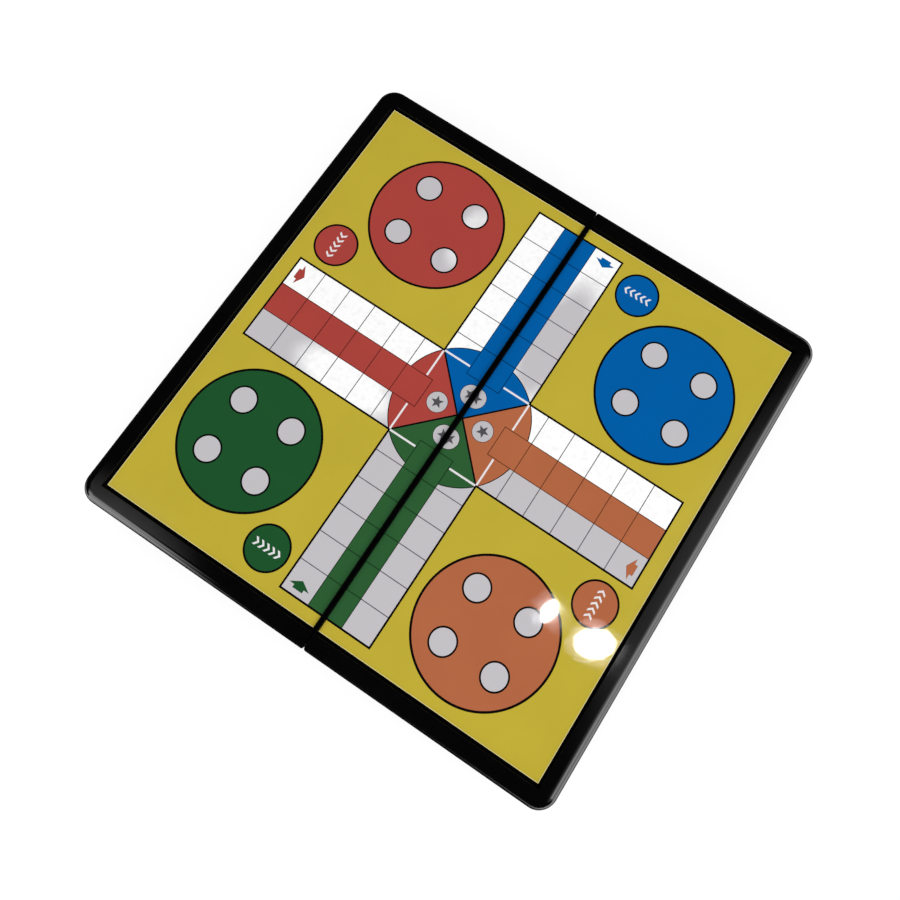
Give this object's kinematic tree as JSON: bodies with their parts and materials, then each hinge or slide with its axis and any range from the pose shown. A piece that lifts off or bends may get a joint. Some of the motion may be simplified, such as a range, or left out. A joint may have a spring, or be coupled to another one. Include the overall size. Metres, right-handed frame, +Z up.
{
  "type": "folding ludo board box",
  "caption": "Folding game box in hinged black halves; opened flat it is a ludo board with a printed magnetic face, closed it stores its tokens and die.",
  "frame": {"origin": "on the table under the middle of the seam, board opened flat", "axes": "+X across the seam towards the half that folds under, +Y along the seam and the hinge axis, +Z up out of the printed face"},
  "size_m": [0.2514, 0.245, 0.022],
  "materials": {
    "shell_plastic": "moulded, glossy black with fine scuffs",
    "tinplate": "bright tinned sheet",
    "laminated_print": "printed sheet under clear glossy film",
    "pin_steel": "drawn wire",
    "magnet": "nickel plated",
    "foot_rubber": "matt rubber",
    "lid_plastic": "satin moulded",
    "token_red": "moulded",
    "token_blue": "moulded",
    "token_green": "moulded",
    "token_orange": "moulded",
    "die_white": "moulded, with sunk pips"
  },
  "bodies": {
    "left_half": {"shell_left": "shell_plastic", "steel_sheet_left": "tinplate", "print_sheet_left": "laminated_print", "hinge_pin_front": "pin_steel", "hinge_pin_rear": "pin_steel", "catch_magnet_left_front": "magnet", "catch_magnet_left_rear": "magnet", "feet_left": "foot_rubber", "tokens_red": "token_red", "tokens_blue": "token_blue", "tokens_green": "token_green", "tokens_orange": "token_orange", "token_magnets": "magnet", "die_cube": "die_white"},
    "right_half": {"shell_right": "shell_plastic", "steel_sheet_right": "tinplate", "print_sheet_right": "laminated_print", "catch_magnet_right_front": "magnet", "catch_magnet_right_rear": "magnet", "feet_right": "foot_rubber"},
    "sliding_lid": {"bin_lid": "lid_plastic"}
  },
  "joints": [
    {"name": "fold", "type": "hinge", "parent": "left_half", "child": "right_half", "pos_m": [0, 0, 0.003], "axis": [0, 1, 0], "range_deg": [0, 180]},
    {"name": "lid_slide", "type": "slide", "parent": "left_half", "child": "sliding_lid", "axis": [0, 1, 0], "range_m": [0, 0.0635]}
  ]
}
